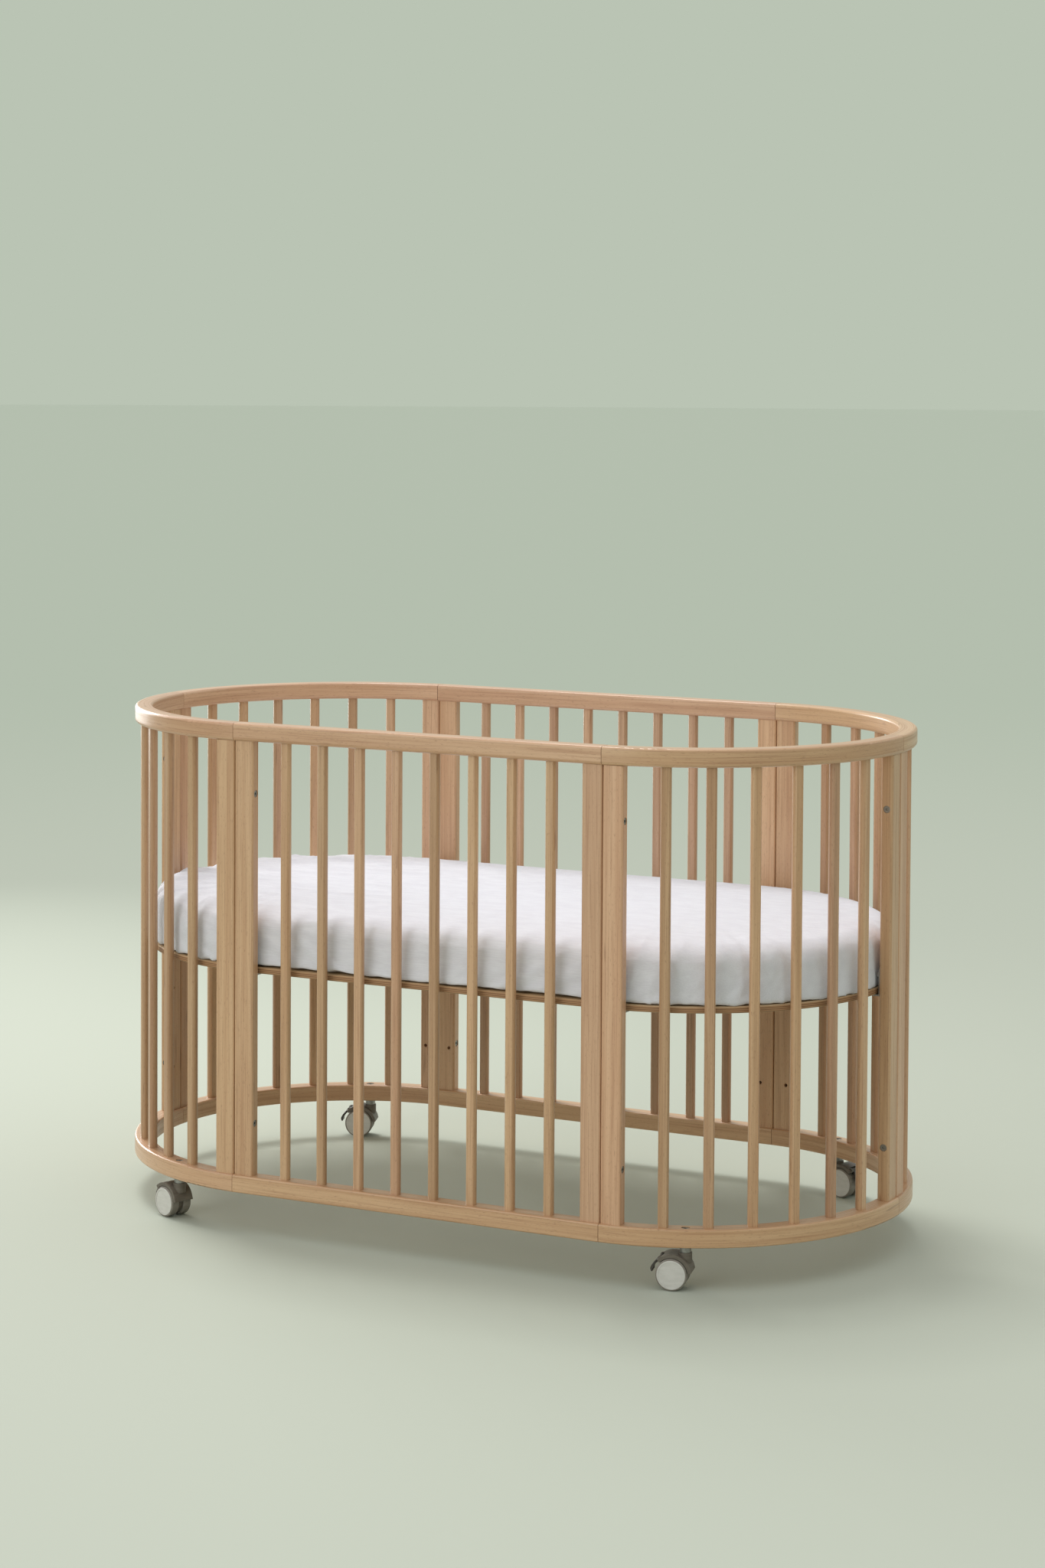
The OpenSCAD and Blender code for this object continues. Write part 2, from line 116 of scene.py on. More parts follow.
def remap(tree, value, low, high, to_low, to_high):
    """The value moved from one range to another, smoothly and without leaving it."""
    sockets = {"Value": value, "From Min": low, "From Max": high, "To Min": to_low, "To Max": to_high}
    return node(tree, "MapRange", sockets, interpolation_type="SMOOTHSTEP").outputs["Result"]


def blend_colour(tree, amount, a, b, blend="MIX"):
    """Colour a turned towards colour b."""
    sockets = {"Factor": amount, "A": a, "B": b}
    mix = node(tree, "Mix", data_type="RGBA", blend_type=blend)
    for socket in mix.inputs:
        if socket.enabled and socket.name in sockets:
            value = sockets[socket.name]
            if isinstance(value, bpy.types.NodeSocket):
                tree.links.new(value, socket)
            else:
                socket.default_value = value
    return [s for s in mix.outputs if s.enabled][0]


def rgb(red, green, blue):
    """An sRGB colour from 0 to 255 as the linear colour that a shader takes."""
    return tuple(((v / 255 + 0.055) / 1.055) ** 2.4 for v in (red, green, blue)) + (1.0,)


def speckle(tree, space, scale, detail=2.0, roughness=0.5):
    """Noise from 0 to 1. The scale is three numbers: grains in a metre along each axis."""
    sized = vector_calc(tree, "MULTIPLY", space, scale)
    sockets = {"Vector": sized, "Scale": 1.0, "Detail": detail, "Roughness": roughness}
    return node(tree, "TexNoise", sockets, noise_dimensions="3D").outputs["Fac"]


def relief(tree, shader, height, depth):
    """Raises the surface by height, from 0 to 1, times depth in metres."""
    bump = node(tree, "Bump", {"Height": height, "Strength": 1.0, "Distance": depth})
    tree.links.new(bump.outputs["Normal"], shader.inputs["Normal"])


def finish_surface(tree, shader, colour, roughness):
    """Links a colour and a roughness to the shader."""
    tree.links.new(colour, shader.inputs["Base Color"])
    tree.links.new(roughness, shader.inputs["Roughness"])


def object_place(tree):
    """The point's place in the object's own space, which is the row frame at rest."""
    return node(tree, "TexCoord").outputs["Object"]


def end_polar(tree, place):
    """Distance from the nearer end's centre line, and the angle round it in radians."""
    at = node(tree, "SeparateXYZ", {"Vector": place}).outputs
    out_x = calc(tree, "SUBTRACT", calc(tree, "ABSOLUTE", at["X"]), END_X)
    radius = calc(tree, "SQRT", calc(tree, "ADD", calc(tree, "MULTIPLY", out_x, out_x),
                                     calc(tree, "MULTIPLY", at["Y"], at["Y"])))
    return radius, calc(tree, "ARCTAN2", at["Y"], out_x), at


def levelness(tree):
    """1 where the surface lies flat, and 0 where it stands upright."""
    normal = node(tree, "NewGeometry").outputs["Normal"]
    return calc(tree, "ABSOLUTE", node(tree, "SeparateXYZ", {"Vector": normal}).outputs["Z"])


# ---- wood ----

BEECH_LIGHT = rgb(220, 179, 141)
BEECH_MID = rgb(204, 159, 121)
BEECH_DARK = rgb(172, 124, 88)
FLECK = rgb(140, 96, 64)
# How dark and how light the pieces of each kind come out
TONES = {"slats": (0.71, 0.84), "posts": (0.82, 0.93),
         "top_rail": (0.81, 0.87), "bottom_rail": (0.82, 0.88)}


def grain_space(tree, run):
    """Texture space whose Z axis follows the grain: up, along the crib, or round its ends."""
    place = object_place(tree)
    if run == "up":
        return place
    radius, angle, at = end_polar(tree, place)
    if run == "along":
        sockets = {"X": at["Z"], "Y": at["Y"], "Z": at["X"]}
    else:
        sockets = {"X": radius, "Y": at["Z"], "Z": calc(tree, "MULTIPLY", angle, MID_R)}
    return node(tree, "CombineXYZ", sockets).outputs["Vector"]


def piece_number(tree, part, section):
    """A whole number that differs between the slats or the posts of a section."""
    angle, at = end_polar(tree, object_place(tree))[1:]
    straight = section in STRAIGHT
    turn = calc(tree, "MULTIPLY", calc(tree, "ABSOLUTE", angle), math.degrees(1))
    if part == "slats" and straight:
        return calc(tree, "FLOOR", calc(tree, "DIVIDE", at["X"], SLAT_PITCH))
    if part == "slats":
        steps = calc(tree, "DIVIDE", calc(tree, "SUBTRACT", turn, FIRST_SLAT_TURN), SLAT_TURN)
        return calc(tree, "ROUND", steps)
    if straight:
        return calc(tree, "GREATER_THAN", at["X"], 0.0)
    return calc(tree, "GREATER_THAN", turn, 45.0)


def beech(name, part, section, seed):
    """Straight-grained beech under clear satin lacquer, a little different on each piece."""
    made, tree, shader = material(name, {"Coat Weight": 0.35, "Coat Roughness": 0.22, "IOR": 1.5})
    upright = part in ("posts", "slats")
    number = piece_number(tree, part, section) if upright else 0.0
    run = "up" if upright else "along" if section in STRAIGHT else "round"
    key = node(tree, "CombineXYZ", {"X": number, "Y": seed, "Z": 0.5}).outputs["Vector"]
    luck = node(tree, "TexWhiteNoise", {"Vector": key}, noise_dimensions="3D").outputs
    shift = vector_calc(tree, "MULTIPLY", luck["Color"], (3.0, 3.0, 3.0))
    space = vector_calc(tree, "ADD", grain_space(tree, run), shift)
    bands = speckle(tree, space, (70.0, 70.0, 1.6), 3.0)
    streaks = speckle(tree, space, (420.0, 420.0, 7.0), 3.0, 0.6)
    pores = speckle(tree, space, (1500.0, 1500.0, 45.0), 2.0)
    rays = speckle(tree, space, (800.0, 800.0, 130.0), 1.0)
    marks = speckle(tree, space, (95.0, 95.0, 11.0), 1.0)
    colour = blend_colour(tree, remap(tree, bands, 0.34, 0.68, 0.0, 1.0), BEECH_LIGHT, BEECH_MID)
    colour = blend_colour(tree, remap(tree, streaks, 0.44, 0.74, 0.0, 0.55), colour, BEECH_DARK)
    colour = blend_colour(tree, remap(tree, rays, 0.62, 0.72, 0.0, 0.30), colour, FLECK)
    colour = blend_colour(tree, remap(tree, marks, 0.72, 0.80, 0.0, 0.45), colour, FLECK)
    tone = remap(tree, luck["Value"], 0.0, 1.0, *TONES[part])
    blush = node(tree, "SeparateXYZ", {"Vector": luck["Color"]}).outputs["Y"]
    green = calc(tree, "MULTIPLY", tone, remap(tree, blush, 0.0, 1.0, 0.98, 1.01))
    blue = calc(tree, "MULTIPLY", tone, remap(tree, blush, 0.0, 1.0, 1.02, 0.96))
    tints = {"Red": tone, "Green": green, "Blue": blue}
    colour = blend_colour(tree, 1.0, colour, node(tree, "CombineColor", tints).outputs[0], "MULTIPLY")
    finish_surface(tree, shader, colour, remap(tree, streaks, 0.3, 0.8, 0.34, 0.50))
    relief(tree, shader, calc(tree, "ADD", streaks, calc(tree, "MULTIPLY", pores, 0.6)), 0.00012)
    return made


PLIES = 7


def plywood():
    """Birch plywood: pale veneer faces, and plies that show as lines round the edge, whose colours are
    made darker by painted shade.
    """
    made, tree, shader = material("plywood", {"IOR": 1.48})
    place = object_place(tree)
    space = grain_space(tree, "along")
    at = node(tree, "SeparateXYZ", {"Vector": place}).outputs
    depth = calc(tree, "DIVIDE", calc(tree, "SUBTRACT", at["Z"], BOARD_LOW.z),
                 (BOARD_HIGH.z - BOARD_LOW.z) / PLIES)
    waver = calc(tree, "MULTIPLY", speckle(tree, place, (60.0, 60.0, 60.0)), 0.5)
    layer = calc(tree, "PINGPONG", calc(tree, "ADD", depth, waver), 1.0)
    figure = remap(tree, speckle(tree, space, (45.0, 45.0, 1.8), 4.0), 0.35, 0.7, 0.0, 1.0)
    face = blend_colour(tree, figure, rgb(206, 178, 140), rgb(183, 150, 110))
    # the upright edge: real plies in two tones, both darkened by painted shade
    edge = blend_colour(tree, remap(tree, layer, 0.35, 0.65, 0.0, 1.0),
                        rgb(172, 132, 94), rgb(128, 92, 62))
    # upright faces take the edge colour with its painted shade, level faces the veneer
    flat = remap(tree, levelness(tree), 0.4, 0.8, 0.0, 1.0)
    grit = speckle(tree, place, (900.0, 900.0, 900.0))
    finish_surface(tree, shader, blend_colour(tree, flat, edge, face),
                   remap(tree, grit, 0.2, 0.8, 0.55, 0.72))
    relief(tree, shader, calc(tree, "ADD", grit, layer), 0.00008)
    return made


# ---- metal and plastic ----

def steel():
    """Zinc-plated steel with fine turning marks and dulled patches."""
    made, tree, shader = material("zinc_steel", {"Metallic": 1.0})
    place = object_place(tree)
    brushed = speckle(tree, place, (300.0, 300.0, 4200.0), 2.0)
    patches = speckle(tree, place, (260.0, 260.0, 260.0), 3.0)
    colour = blend_colour(tree, patches, rgb(176, 175, 170), rgb(128, 127, 124))
    finish_surface(tree, shader, colour, remap(tree, patches, 0.2, 0.8, 0.28, 0.46))
    relief(tree, shader, brushed, 0.00003)
    return made


def moulded(name, colour, worn, rough, sparkle, coat=0.0):
    """Moulded plastic: an eroded-tool texture, slight flow marks and a lighter worn tone."""
    made, tree, shader = material(name, {"IOR": 1.46, "Coat Weight": coat, "Coat Roughness": 0.2})
    place = object_place(tree)
    tool = speckle(tree, place, (2400.0, 2400.0, 2400.0), 2.0)
    flow = speckle(tree, place, (70.0, 70.0, 240.0), 3.0)
    scuffs = speckle(tree, place, (500.0, 900.0, 180.0), 4.0, 0.7)
    shade = blend_colour(tree, remap(tree, flow, 0.3, 0.7, 0.0, 0.6), colour, worn)
    shade = blend_colour(tree, remap(tree, scuffs, 0.62, 0.8, 0.0, 0.5), shade, worn)
    finish_surface(tree, shader, shade, remap(tree, scuffs, 0.3, 0.8, rough, rough + 0.14))
    relief(tree, shader, tool, sparkle)
    return made


# ---- cloth ----

THREAD_PITCH = 0.0005
RIB_PITCH = 0.0016
LOOP_PITCH = 0.0012


def cotton():
    """White percale: a plain weave of half-millimetre threads with slubs and soft wear."""
    settings = {"Sheen Weight": 0.25, "Sheen Roughness": 0.5, "IOR": 1.4}
    made, tree, shader = material("white_cotton", settings)
    place = object_place(tree)
    angle, at = end_polar(tree, place)[1:]
    threads = 2 * math.pi / THREAD_PITCH
    across = calc(tree, "SINE", calc(tree, "MULTIPLY", at["X"], threads))
    down = calc(tree, "SINE", calc(tree, "MULTIPLY", at["Y"], threads))
    up = calc(tree, "SINE", calc(tree, "MULTIPLY", at["Z"], threads))
    round_end = calc(tree, "SINE", calc(tree, "MULTIPLY", angle, threads * OUTER_R))
    on_top = calc(tree, "MULTIPLY", across, down)
    on_side = calc(tree, "MULTIPLY", up, round_end)
    flat = remap(tree, levelness(tree), 0.5, 0.8, 0.0, 1.0)
    weave = calc(tree, "ADD", calc(tree, "MULTIPLY", on_top, flat),
                 calc(tree, "MULTIPLY", on_side, calc(tree, "SUBTRACT", 1.0, flat)))
    slubs = speckle(tree, place, (30.0, 700.0, 700.0), 2.0)
    crush = speckle(tree, place, (28.0, 45.0, 60.0), 4.0, 0.55)
    tint = calc(tree, "MULTIPLY", calc(tree, "ADD", slubs, crush), 0.5)
    colour = blend_colour(tree, remap(tree, tint, 0.35, 0.65, 0.0, 1.0),
                          rgb(232, 232, 239), rgb(224, 223, 231))
    finish_surface(tree, shader, colour, remap(tree, slubs, 0.3, 0.7, 0.78, 0.92))
    height = calc(tree, "ADD", calc(tree, "MULTIPLY", weave, 0.06), crush)
    relief(tree, shader, height, 0.0012)
    return made


def knit():
    """The mattress cover: cream knitted jersey with fine ribs."""
    made, tree, shader = material("knitted_jersey", {"Sheen Weight": 0.3, "Sheen Roughness": 0.4})
    place = object_place(tree)
    at = node(tree, "SeparateXYZ", {"Vector": place}).outputs
    ribs = calc(tree, "SINE", calc(tree, "MULTIPLY", at["X"], 2 * math.pi / RIB_PITCH))
    across = calc(tree, "ADD", at["Y"], at["Z"])
    loops = calc(tree, "SINE", calc(tree, "MULTIPLY", across, 2 * math.pi / LOOP_PITCH))
    fuzz = speckle(tree, place, (350.0, 350.0, 350.0), 3.0)
    colour = blend_colour(tree, remap(tree, fuzz, 0.3, 0.7, 0.0, 1.0),
                          rgb(236, 231, 220), rgb(222, 216, 203))
    finish_surface(tree, shader, colour, remap(tree, fuzz, 0.3, 0.7, 0.82, 0.95))
    relief(tree, shader, calc(tree, "ADD", calc(tree, "MULTIPLY", ribs, loops), fuzz), 0.0003)
    return made


# ---- mesh helpers ----

def end_distance(x, y):
    """Distance in plan from the line between the two ends' centres."""
    return math.hypot(max(abs(x) - END_X, 0.0), y)


def outward(x, y):
    """Unit vector in plan that points straight out of the oval."""
    away = Vector((math.copysign(max(abs(x) - END_X, 0.0), x), y, 0.0))
    return away.normalized() if away.length > 1e-6 else Vector((0.0, 0.0, 0.0))


def oval(distance):
    """Points of an oval at that distance from the line between the two ends' centres."""
    run_steps, arc_steps = 64, 108
    front = [(END_X * (2 * k / run_steps - 1), -distance) for k in range(run_steps)]
    turns = [math.pi * (k / arc_steps - 0.5) for k in range(arc_steps)]
    right = [(END_X + distance * math.cos(a), distance * math.sin(a)) for a in turns]
    half = front + right
    return half + [(-x, -y) for x, y in half]


def loft(name, profile):
    """A closed solid of oval rings, each at a (distance, height) of the profile."""
    mesh = bmesh.new()
    rings = [[mesh.verts.new((x, y, z)) for x, y in oval(d)] for d, z in profile]
    for ring, following in zip(rings, rings[1:]):
        for k in range(len(ring)):
            mesh.faces.new((ring[k - 1], ring[k], following[k], following[k - 1]))
    bmesh.ops.remove_doubles(mesh, verts=mesh.verts, dist=1e-5)
    bmesh.ops.recalc_face_normals(mesh, faces=mesh.faces)
    data = bpy.data.meshes.new(name)
    mesh.to_mesh(data)
    mesh.free()
    made = bpy.data.objects.new(name, data)
    bpy.context.scene.collection.objects.link(made)
    return made


def pad_profile(radius, low, high, low_r, high_r, crown):
    """Half a section through a pad, from the middle of its underside round to the middle of its top."""
    steps, rows = 6, 14
    lower = [math.pi / 2 * k / steps for k in range(steps + 1)]
    points = [(radius * k / rows, low) for k in range(rows) if radius * k / rows < radius - low_r]
    points += [(radius - low_r + low_r * math.sin(a), low + low_r - low_r * math.cos(a)) for a in lower]
    points += [(radius - high_r + high_r * math.cos(a), high - high_r + high_r * math.sin(a))
               for a in lower]
    inner = radius - high_r
    shares = [1 - k / rows for k in range(1, rows + 1)]
    return points + [(inner * share, high + crown * (1 - share ** 2)) for share in shares]


def settle(obj):
    """Makes the result of the object's modifiers its own mesh."""
    graph = bpy.context.evaluated_depsgraph_get()
    mesh = bpy.data.meshes.new_from_object(obj.evaluated_get(graph), depsgraph=graph)
    obj.modifiers.clear()
    obj.data = mesh
    return obj


def remesh(obj, grain):
    """Rebuilds the mesh from even quads of that size."""
    modifier = obj.modifiers.new("even", "REMESH")
    modifier.mode = "VOXEL"
    modifier.voxel_size = grain
    modifier.use_smooth_shade = True
    return settle(obj)


def subdivide(obj, levels=1):
    """Rounds the mesh by that many steps of subdivision."""
    modifier = obj.modifiers.new("round", "SUBSURF")
    modifier.levels = modifier.render_levels = levels
    return settle(obj)


def smooth_shade(obj):
    """Shades every face of the mesh smoothly."""
    for face in obj.data.polygons:
        face.use_smooth = True


# ---- mattress ----

EDGE_R = 0.030                           # rounding of the mattress's upper edge, as in part.scad
LOW_R = 0.013                            # rounding of its lower edge
CROWN = 0.005                            # how far its middle stands above its rim
RIM_LIFT = 0.0060                        # how far the elastic hem lifts the lower rim off the board
GRAIN = 0.009                            # size of the even quads that soft pieces are made of
QUILT_PITCH = 0.07
QUILT_DEPTH = 0.0015
WAIST = 0.002                            # how far the mattress's sides are drawn in
COVER_GAP = 0.0015                       # room left for the sheet inside the CAD mattress's box
RIM_W = 0.020                            # width of the rim that is lifted
RIM_H = 0.032                            # height over which the lift fades out


def ease(value):
    """0 below 0, 1 above 1 and a smooth step between."""
    t = min(1.0, max(0.0, value))
    return t * t * (3 - 2 * t)


def lift_rim(obj, radius, low):
    """Lifts the lower rim off the board, which leaves a shadow line all round."""
    for v in obj.data.vertices:
        at_rim = ease(2 * (end_distance(v.co.x, v.co.y) - radius + RIM_W) / RIM_W)
        v.co.z += RIM_LIFT * at_rim * (1 - ease((v.co.z - low) / RIM_H))


def mattress():
    """A foam pad in a quilted knitted cover, with sides drawn in between its edges."""
    radius = FOAM_HIGH.y - COVER_GAP
    low, high = FOAM_LOW.z, FOAM_HIGH.z - COVER_GAP
    pad = loft("mattress_pad", pad_profile(radius, low, high, LOW_R, EDGE_R, CROWN))
    remesh(pad, GRAIN)
    lift_rim(pad, radius, low)
    middle, half = (low + high) / 2, (high - low) / 2
    for v in pad.data.vertices:
        x, y, z = v.co
        from_rim = radius - EDGE_R - end_distance(x, y)
        if z > middle and from_rim > 0:
            lines = math.sin(math.pi * (x + y) / QUILT_PITCH) * math.sin(math.pi * (x - y) / QUILT_PITCH)
            v.co.z -= QUILT_DEPTH * (1 - min(1.0, 4 * abs(lines))) * min(1.0, from_rim / EDGE_R)
        if end_distance(x, y) > radius - LOW_R:
            inwards = WAIST * math.cos(math.pi / 2 * min(1.0, abs(z - middle) / half))
            v.co -= outward(x, y) * inwards
    smooth_shade(pad)
    pad.data.materials.append(KNIT)
    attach(pad, "crib_frame")
    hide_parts("mattress")
    return pad


# ---- fitted sheet ----

SHEET_GAP = 0.0011                       # between the mattress and the middle of the cloth
SHEET_THICK = 0.0007
SHEET_INSET = 0.0003                     # from the CAD sheet's faces to the cloth
SIDE_ROOM = 0.0025                       # how far creases may stand out from the mattress's sides
HEM_IN = 0.038                           # width of the hem turned in under the mattress
SLACK = 0.012                            # share by which the cloth is cut larger than the mattress
FALL_FRAMES = 26


def cloth_fall(cloth, body, frames):
    """Lets the cloth fall on the body, held by its pin group, and keeps the result."""
    collision = body.modifiers.new("Collision", "COLLISION")
    body.collision.thickness_outer = 0.0008
    body.collision.cloth_friction = 12.0
    fall = cloth.modifiers.new("Cloth", "CLOTH")
    made = fall.settings
    made.quality = 7
    made.mass = 0.15
    made.tension_stiffness = 18.0
    made.compression_stiffness = 14.0
    made.shear_stiffness = 6.0
    made.bending_stiffness = 0.35
    made.tension_damping = made.compression_damping = 8.0
    made.air_damping = 2.0
    made.shrink_min = made.shrink_max = -SLACK
    made.vertex_group_mass = "held"
    fall.collision_settings.distance_min = 0.0008
    fall.collision_settings.collision_quality = 3
    fall.point_cache.frame_start = 1
    fall.point_cache.frame_end = frames
    for step in range(1, frames + 1):
        bpy.context.scene.frame_set(step)
    settle(cloth)
    body.modifiers.remove(collision)
    bpy.context.scene.frame_set(1)


def keep_outside(cloth, body, gap):
    """Moves the cloth's points that lie too near the body, or in it, out to that gap."""
    tree = BVHTree.FromObject(body, bpy.context.evaluated_depsgraph_get())
    for v in cloth.data.vertices:
        near, normal = tree.find_nearest(v.co)[:2]
        depth = (v.co - near).dot(normal)
        if depth < gap:
            v.co += normal * (gap - depth)


PLEAT_PITCH, PLEAT_H = 0.034, 0.0048     # round the ends of the mattress
FOLD_PITCH, FOLD_H = 0.055, 0.0046       # thin folds along the left end of its top
RIPPLE_H = 0.0021                        # long creases on its top
PUCKER_PITCH, PUCKER_H = 0.022, 0.0015   # gathers just above the elastic hem


def pulled_fold(x, y, z):
    """Height from 0 to 1 of the thin folds where the cloth is pulled over the left end."""
    drift = noise.noise((x / 0.30, y / 0.20, z / 0.20))
    wave = abs(math.sin(math.pi * (y / FOLD_PITCH + 1.4 * drift)))
    unbroken = ease((noise.noise((x / 0.20, y / 0.07, 4.0)) + 0.30) / 0.35)
    return (1 - wave) ** 1.5 * ease(-x / 0.45) * unbroken


def creases(place, radius, low):
    """How far the cloth stands out: pleats at the round ends, creases on top, puckers at the hem."""
    x, y, z = place
    d = end_distance(x, y)
    along = math.atan2(y, abs(x) - END_X) * radius if abs(x) > END_X else x
    head = (1.0 if x < 0 else 0.5) * (1 - 0.7 * ease((y - 0.02) / 0.12))
    at_end = ease((abs(x) - END_X * 0.8) / 0.16) * ease((d - 0.10) / 0.20) * head
    pleat = 1 - 2 * abs(noise.noise((along / PLEAT_PITCH, d / 0.20 + z / 0.11, 3.0)))
    ripple = noise.noise((x / 0.16, y / 0.030, 7.0)) + 0.5 * noise.noise((x / 0.07, y / 0.016, 9.0))
    on_top = ease((z - low - 0.055) / 0.03) * ease((radius - 0.03 - d) / 0.07)
    on_top *= 0.45 + 0.55 * ease((0.1 - x) / 0.4)
    pucker = noise.noise((along / PUCKER_PITCH, z / 0.06, 5.0)) * ease((low + 0.040 - z) / 0.035)
    fold = pulled_fold(x, y, z) * ease((z - low - 0.06) / 0.02)
    pleats = PLEAT_H * max(pleat, 0.0) ** 2 * at_end
    return pleats + RIPPLE_H * ripple * on_top + PUCKER_H * pucker + FOLD_H * fold


def crease(cover, radius, low):
    """Moves each point of the cloth along its normal by its creases."""
    normals = [v.normal.copy() for v in cover.data.vertices]
    for v, normal in zip(cover.data.vertices, normals):
        if v.co.z > low + 0.002:
            v.co += normal * creases(v.co, radius, low)


def open_underside(cover, radius, low):
    """Cuts away the cloth under the mattress, inside the hem."""
    cut = bmesh.new()
    cut.from_mesh(cover.data)
    inside = [f for f in cut.faces
              if all(v.co.z < low + 0.004 and end_distance(v.co.x, v.co.y) < radius - HEM_IN
                     for v in f.verts)]
    bmesh.ops.delete(cut, geom=inside, context="FACES")
    cut.to_mesh(cover.data)
    cut.free()


def sheet(pad):
    """A fitted cotton sheet, pulled over the mattress and gathered under it by its elastic hem."""
    radius = SHEET_HIGH.y - 2 * SHEET_INSET
    low, high = SHEET_LOW.z + SHEET_INSET, SHEET_HIGH.z - SHEET_INSET
    cover = loft("fitted_sheet_cotton", pad_profile(radius, low, high, LOW_R, EDGE_R, CROWN))
    remesh(cover, GRAIN)
    open_underside(cover, radius, low)
    lift_rim(cover, radius, low)
    held = cover.vertex_groups.new(name="held")
    held.add([v.index for v in cover.data.vertices if v.co.z < low + 0.003], 1.0, "REPLACE")
    cloth_fall(cover, pad, FALL_FRAMES)
    cover.vertex_groups.clear()
    keep_outside(cover, pad, SHEET_GAP)
    subdivide(cover)
    crease(cover, radius, low)
    keep_outside(cover, pad, SHEET_GAP)
    for v in cover.data.vertices:
        over = end_distance(v.co.x, v.co.y) - radius - SIDE_ROOM
        if over > 0:
            v.co -= outward(v.co.x, v.co.y) * over
        v.co.z = max(v.co.z, low)
    shell = cover.modifiers.new("thickness", "SOLIDIFY")
    shell.thickness = SHEET_THICK
    shell.offset = 1.0
    settle(cover)
    smooth_shade(cover)
    cover.data.materials.append(COTTON)
    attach(cover, "crib_frame")
    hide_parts("fitted_sheet")
    return cover


# ---- materials on the CAD nodes ----

def paint(node_name, made):
    """Gives a CAD node one material."""
    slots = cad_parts[node_name].data.materials
    slots.clear()
    slots.append(made)


def soften(node_name, width):
    """Takes the sharp line off a CAD node's edges."""
    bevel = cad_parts[node_name].modifiers.new("eased edges", "BEVEL")
    bevel.width = width
    bevel.segments = 2
    bevel.limit_method = "ANGLE"
    bevel.angle_limit = math.radians(50)


def paint_wood():
    """Beech on every section: grain along the rails, and up the posts and slats."""
    for k, part in enumerate(("top_rail", "bottom_rail", "posts", "slats")):
        for seed, section in enumerate(SECTIONS):
            name = f"{part}_{section}"
            paint(name, beech(f"beech_{name}", part, section, seed + len(SECTIONS) * k + 0.5))
            soften(name, 0.0006)


def paint_hardware():
    """Plywood board, zinc-plated fittings and the casters' mouldings."""
    paint("mattress_board", plywood())
    zinc = steel()
    for name in ("connector_bolts", "connector_sleeves", "board_bolts", "board_brackets", "caster_stems"):
        paint(name, zinc)
    body = moulded("caster_grey", rgb(98, 90, 80), rgb(116, 108, 98), 0.38, 0.00004)
    dark = moulded("pedal_grey", rgb(62, 58, 53), rgb(84, 79, 72), 0.42, 0.00004)
    tyre = moulded("tyre_grey", rgb(126, 119, 110), rgb(146, 139, 130), 0.55, 0.00006)
    disc = moulded("cap_white", rgb(206, 203, 198), rgb(192, 189, 183), 0.30, 0.00002, coat=0.3)
    for corner in CORNERS:
        paint(f"axle_{corner}", zinc)
        paint(f"housing_{corner}", body)
        paint(f"pedal_{corner}", dark)
        for side in "ab":
            paint(f"wheel_{side}_{corner}", tyre)
            paint(f"cap_{side}_{corner}", disc)


# ---- stage ----

EYE = Vector((2.456, -4.925, 1.4314))
YAW, PITCH, ROLL = -0.4611, -0.0421, 0.0056
LENS, SENSOR = 75.5, 36.0
SHIFT_Y = -0.1836
SURROUND = rgb(186, 196, 180)


def camera():
    """The photograph's view: a long lens at standing height, shifted down onto the crib."""
    ahead = Vector((math.sin(YAW) * math.cos(PITCH), math.cos(YAW) * math.cos(PITCH), math.sin(PITCH)))
    level = Vector((math.cos(YAW), -math.sin(YAW), 0.0))
    upright = level.cross(ahead)
    right = level * math.cos(ROLL) + upright * math.sin(ROLL)
    up = upright * math.cos(ROLL) - level * math.sin(ROLL)
    data = bpy.data.cameras.new("photo_view")
    data.lens = LENS
    data.sensor_fit = "VERTICAL"
    data.sensor_height = SENSOR
    data.shift_y = SHIFT_Y
    data.clip_end = 200.0
    made = bpy.data.objects.new("photo_view", data)
    made.matrix_world = Matrix((right, up, -ahead)).transposed().to_4x4()
    made.location = EYE
    bpy.context.scene.collection.objects.link(made)
    bpy.context.scene.camera = made


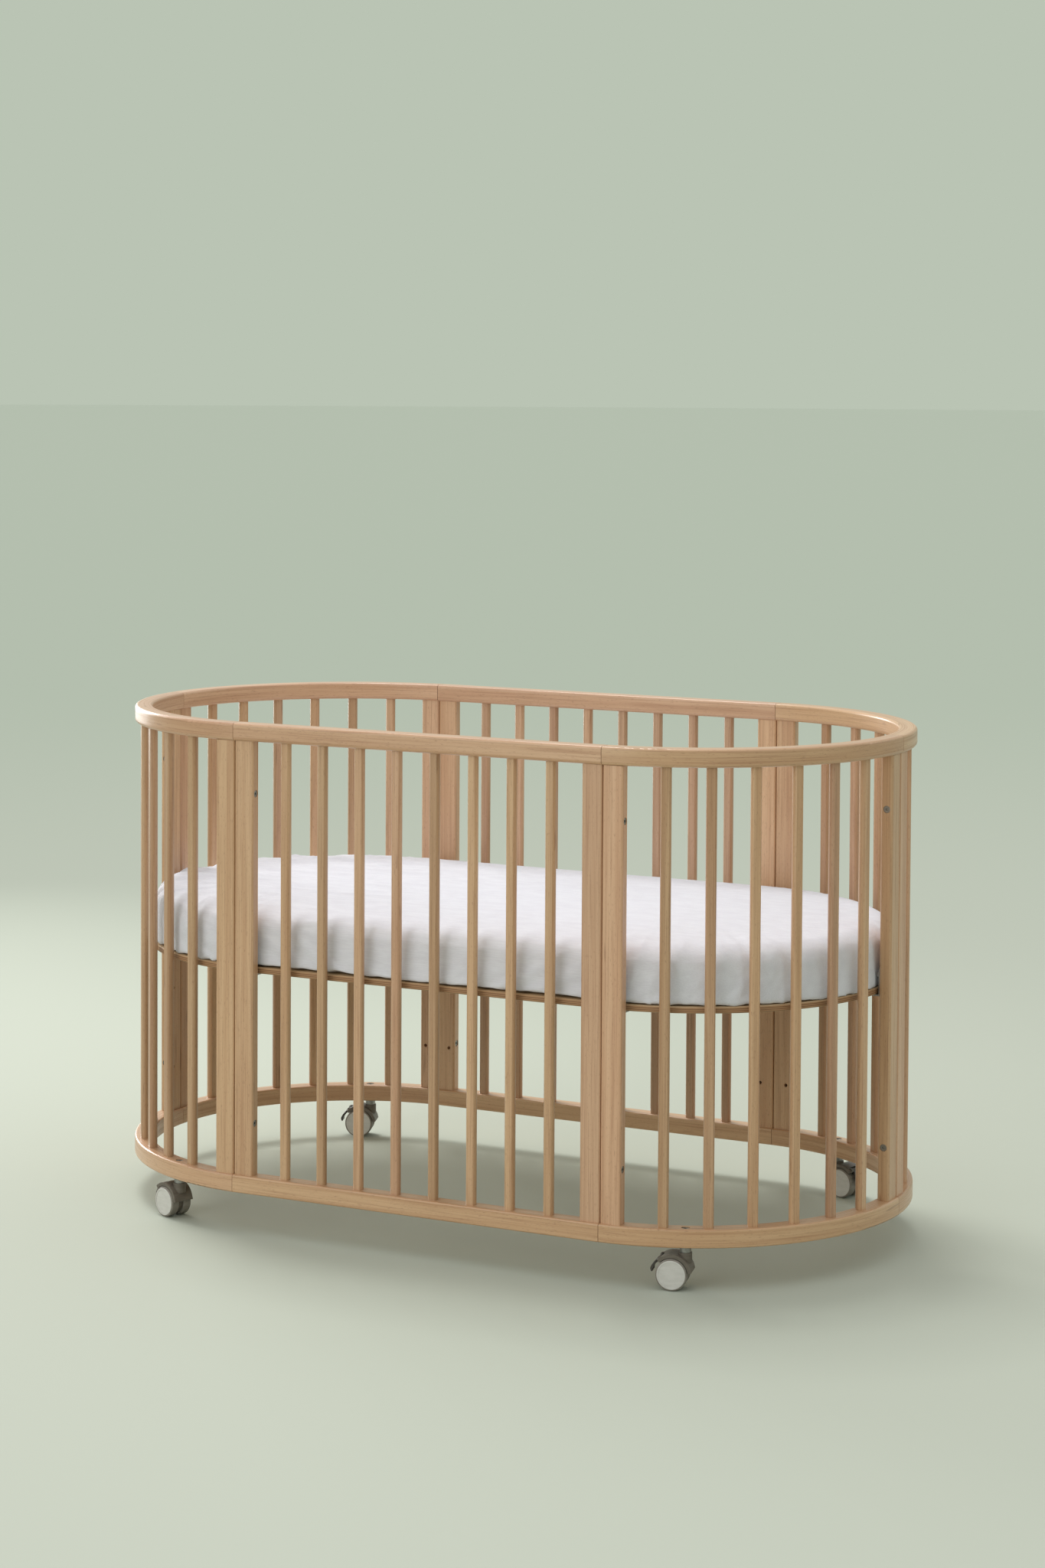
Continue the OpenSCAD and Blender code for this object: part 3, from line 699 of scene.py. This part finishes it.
def light(name, kind, place, power, colour, **settings):
    """A lamp that faces the middle of the crib."""
    data = bpy.data.lights.new(name, kind)
    data.energy = power
    data.color = colour
    for setting, value in settings.items():
        setattr(data, setting, value)
    made = bpy.data.objects.new(name, data)
    made.location = place
    target = Vector((0.0, 0.0, CAD_BOX[1].z / 2))
    made.rotation_euler = (target - Vector(place)).to_track_quat("-Z", "Y").to_euler()
    made.visible_camera = False
    bpy.context.scene.collection.objects.link(made)


def surround():
    """A pale world, brighter overhead, whose horizon has the far floor's tone."""
    world = bpy.data.worlds.new("surround")
    world.use_nodes = True
    tree = world.node_tree
    up = node(tree, "SeparateXYZ", {"Vector": node(tree, "TexCoord").outputs["Generated"]}).outputs["Z"]
    sky = blend_colour(tree, remap(tree, up, 0.10, 0.75, 0.0, 1.0), SURROUND, rgb(236, 237, 238))
    tree.links.new(sky, tree.nodes["Background"].inputs["Color"])
    tree.nodes["Background"].inputs["Strength"].default_value = 1.0
    bpy.context.scene.world = world


def pale_floor():
    """A large plain floor that takes on the surround's tone in the distance."""
    mesh = bmesh.new()
    bmesh.ops.create_circle(mesh, cap_ends=True, segments=96, radius=90.0)
    data = bpy.data.meshes.new("floor")
    mesh.to_mesh(data)
    mesh.free()
    floor = bpy.data.objects.new("floor", data)
    bpy.context.scene.collection.objects.link(floor)
    made, tree, shader = material("pale_floor", {"Roughness": 0.85, "Specular IOR Level": 0.1})
    away = vector_calc(tree, "MULTIPLY", object_place(tree), (1.0, 1.0, 0.0))
    reach = node(tree, "VectorMath", {0: away}, operation="LENGTH").outputs["Value"]
    colour = blend_colour(tree, remap(tree, reach, 1.5, 9.0, 0.0, 1.0),
                          rgb(179, 184, 171), rgb(167, 176, 161))
    tree.links.new(colour, shader.inputs["Base Color"])
    data.materials.append(made)


def studio():
    """Soft light from above, behind and on the left, over a plain pale floor."""
    pale_floor()
    surround()
    bpy.context.scene.view_settings.view_transform = "Standard"
    light("key", "SUN", (-1.2, 0.9, 4.2), 1.30, (1.0, 0.995, 0.985), angle=math.radians(19))
    light("window", "AREA", (-3.3, 1.6, 1.4), 20.0, (1.0, 0.99, 0.98), size=2.0, spread=math.radians(75))
    light("fill", "AREA", (-1.6, -4.8, 1.9), 15.0, (1.0, 0.985, 0.985), size=3.4, spread=math.radians(80))


KNIT = knit()
COTTON = cotton()
paint_wood()
paint_hardware()
sheet(mattress())
camera()
studio()
